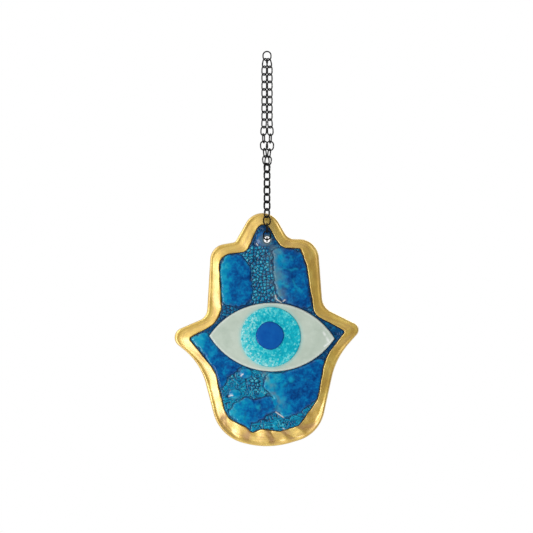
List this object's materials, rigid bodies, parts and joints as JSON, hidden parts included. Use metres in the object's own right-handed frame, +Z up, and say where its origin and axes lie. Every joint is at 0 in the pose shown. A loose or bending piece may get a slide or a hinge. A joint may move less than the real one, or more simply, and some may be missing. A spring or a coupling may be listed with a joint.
{
  "type": "hamsa hand ornament",
  "caption": "Fused-glass hamsa hand with a gilt border, blue bubble glass and a raised eye, hung on a doubled black cable chain.",
  "frame": {"origin": "the point inside the top of the hanger ring where the ornament is hung", "axes": "+Z up along the hanging chain, -Y out of the wall towards the viewer, +X to the viewer's right"},
  "size_m": [0.095, 0.0134, 0.204],
  "materials": {
    "black_wire": "blackened steel wire, satin",
    "back_glass": "dark blue sheet glass, smooth",
    "blue_glass": "blue bubble glass, glossy",
    "gilt": "glass rim with satin gold lustre, hammered and brushed",
    "white_glass": "opaque white glass, glossy",
    "turquoise_glass": "turquoise frit glass, glossy",
    "cobalt_glass": "cobalt glass, glossy"
  },
  "bodies": {
    "hanger_ring": {"hanger_ring": "black_wire"},
    "chain_01": {"front_link_01": "black_wire", "rear_link_01": "black_wire"},
    "chain_02": {"front_link_02": "black_wire", "rear_link_02": "black_wire"},
    "chain_03": {"front_link_03": "black_wire", "rear_link_03": "black_wire"},
    "chain_04": {"front_link_04": "black_wire", "rear_link_04": "black_wire"},
    "chain_05": {"front_link_05": "black_wire", "rear_link_05": "black_wire"},
    "chain_06": {"front_link_06": "black_wire", "rear_link_06": "black_wire"},
    "chain_07": {"front_link_07": "black_wire", "rear_link_07": "black_wire"},
    "chain_08": {"front_link_08": "black_wire", "rear_link_08": "black_wire"},
    "chain_09": {"front_link_09": "black_wire", "rear_link_09": "black_wire"},
    "chain_10": {"front_link_10": "black_wire", "rear_link_10": "black_wire"},
    "chain_11": {"front_link_11": "black_wire", "rear_link_11": "black_wire"},
    "chain_12": {"front_link_12": "black_wire", "rear_link_12": "black_wire"},
    "chain_13": {"front_link_13": "black_wire", "rear_link_13": "black_wire"},
    "chain_14": {"front_link_14": "black_wire", "rear_link_14": "black_wire"},
    "chain_15": {"front_link_15": "black_wire", "rear_link_15": "black_wire"},
    "chain_16": {"front_link_16": "black_wire", "rear_link_16": "black_wire"},
    "chain_17": {"front_link_17": "black_wire", "rear_link_17": "black_wire"},
    "chain_18": {"front_link_18": "black_wire", "rear_link_18": "black_wire"},
    "chain_19": {"front_link_19": "black_wire", "rear_link_19": "black_wire"},
    "chain_20": {"front_link_20": "black_wire", "rear_link_20": "black_wire"},
    "chain_21": {"front_link_21": "black_wire", "rear_link_21": "black_wire"},
    "chain_22": {"front_link_22": "black_wire", "rear_link_22": "black_wire"},
    "chain_23": {"front_link_23": "black_wire", "rear_link_23": "black_wire"},
    "chain_24": {"front_link_24": "black_wire", "rear_link_24": "black_wire"},
    "through_link": {"through_link": "black_wire"},
    "hand": {"base_glass": "back_glass", "blue_field": "blue_glass", "gilt_border": "gilt", "eye_white": "white_glass", "eye_iris": "turquoise_glass", "eye_pupil": "cobalt_glass"}
  },
  "joints": [
    {"name": "chain_01_swing", "type": "hinge", "parent": "hanger_ring", "child": "chain_01", "pos_m": [0, 0, -0.00377], "axis": [1, 0, 0], "range_deg": [-25, 25]},
    {"name": "chain_02_swing", "type": "hinge", "parent": "chain_01", "child": "chain_02", "pos_m": [0, 0, -0.00758], "axis": [-1, 0, 0], "range_deg": [-25, 25]},
    {"name": "chain_03_swing", "type": "hinge", "parent": "chain_02", "child": "chain_03", "pos_m": [0, 0, -0.01147], "axis": [1, 0, 0], "range_deg": [-25, 25]},
    {"name": "chain_04_swing", "type": "hinge", "parent": "chain_03", "child": "chain_04", "pos_m": [0, 0, -0.01536], "axis": [-1, 0, 0], "range_deg": [-25, 25]},
    {"name": "chain_05_swing", "type": "hinge", "parent": "chain_04", "child": "chain_05", "pos_m": [0, 0, -0.01925], "axis": [1, 0, 0], "range_deg": [-25, 25]},
    {"name": "chain_06_swing", "type": "hinge", "parent": "chain_05", "child": "chain_06", "pos_m": [0, 0, -0.02314], "axis": [-1, 0, 0], "range_deg": [-25, 25]},
    {"name": "chain_07_swing", "type": "hinge", "parent": "chain_06", "child": "chain_07", "pos_m": [0, 0, -0.02703], "axis": [1, 0, 0], "range_deg": [-25, 25]},
    {"name": "chain_08_swing", "type": "hinge", "parent": "chain_07", "child": "chain_08", "pos_m": [0, 0, -0.03092], "axis": [-1, 0, 0], "range_deg": [-25, 25]},
    {"name": "chain_09_swing", "type": "hinge", "parent": "chain_08", "child": "chain_09", "pos_m": [0, 0, -0.03481], "axis": [1, 0, 0], "range_deg": [-25, 25]},
    {"name": "chain_10_swing", "type": "hinge", "parent": "chain_09", "child": "chain_10", "pos_m": [0, 0, -0.03869], "axis": [-0.9964, -0.085, 0], "range_deg": [-25, 25]},
    {"name": "chain_11_swing", "type": "hinge", "parent": "chain_10", "child": "chain_11", "pos_m": [0, 0, -0.04256], "axis": [0.954, 0.2998, 0], "range_deg": [-25, 25]},
    {"name": "chain_12_swing", "type": "hinge", "parent": "chain_11", "child": "chain_12", "pos_m": [0, 0, -0.0464], "axis": [-0.8228, -0.5684, 0], "range_deg": [-25, 25]},
    {"name": "chain_13_swing", "type": "hinge", "parent": "chain_12", "child": "chain_13", "pos_m": [0, 0, -0.05022], "axis": [0.5967, 0.8024, 0], "range_deg": [-25, 25]},
    {"name": "chain_14_swing", "type": "hinge", "parent": "chain_13", "child": "chain_14", "pos_m": [0, 0, -0.05404], "axis": [-0.3329, -0.943, 0], "range_deg": [-25, 25]},
    {"name": "chain_15_swing", "type": "hinge", "parent": "chain_14", "child": "chain_15", "pos_m": [0, 0, -0.05788], "axis": [0.1197, 0.9928, 0], "range_deg": [-25, 25]},
    {"name": "chain_16_swing", "type": "hinge", "parent": "chain_15", "child": "chain_16", "pos_m": [0, 0, -0.06176], "axis": [-0.0349, -0.9994, 0], "range_deg": [-25, 25]},
    {"name": "chain_17_swing", "type": "hinge", "parent": "chain_16", "child": "chain_17", "pos_m": [0, 0, -0.06564], "axis": [0.0349, 0.9994, 0], "range_deg": [-25, 25]},
    {"name": "chain_18_swing", "type": "hinge", "parent": "chain_17", "child": "chain_18", "pos_m": [0, 0, -0.06952], "axis": [-0.0349, -0.9994, 0], "range_deg": [-25, 25]},
    {"name": "chain_19_swing", "type": "hinge", "parent": "chain_18", "child": "chain_19", "pos_m": [0, 0, -0.07341], "axis": [0.0349, 0.9994, 0], "range_deg": [-25, 25]},
    {"name": "chain_20_swing", "type": "hinge", "parent": "chain_19", "child": "chain_20", "pos_m": [0, 0, -0.07729], "axis": [-0.0349, -0.9994, 0], "range_deg": [-25, 25]},
    {"name": "chain_21_swing", "type": "hinge", "parent": "chain_20", "child": "chain_21", "pos_m": [0, 0, -0.08118], "axis": [0.0349, 0.9994, 0], "range_deg": [-25, 25]},
    {"name": "chain_22_swing", "type": "hinge", "parent": "chain_21", "child": "chain_22", "pos_m": [0, 0, -0.08506], "axis": [-0.0259, -0.9997, 0], "range_deg": [-25, 25]},
    {"name": "chain_23_swing", "type": "hinge", "parent": "chain_22", "child": "chain_23", "pos_m": [0, 0, -0.08895], "axis": [0.009, 1, 0], "range_deg": [-25, 25]},
    {"name": "chain_24_swing", "type": "hinge", "parent": "chain_23", "child": "chain_24", "pos_m": [0, 0, -0.09325], "axis": [0, -1, 0], "range_deg": [-25, 25]},
    {"name": "through_link_turn", "type": "hinge", "parent": "chain_24", "child": "through_link", "pos_m": [0, 0, -0.0967], "axis": [0, 1, 0], "range_deg": [-25, 25]},
    {"name": "hand_swing", "type": "hinge", "parent": "through_link", "child": "hand", "pos_m": [0, 0, -0.0967], "axis": [0, -1, 0], "range_deg": [-40, 40]}
  ]
}
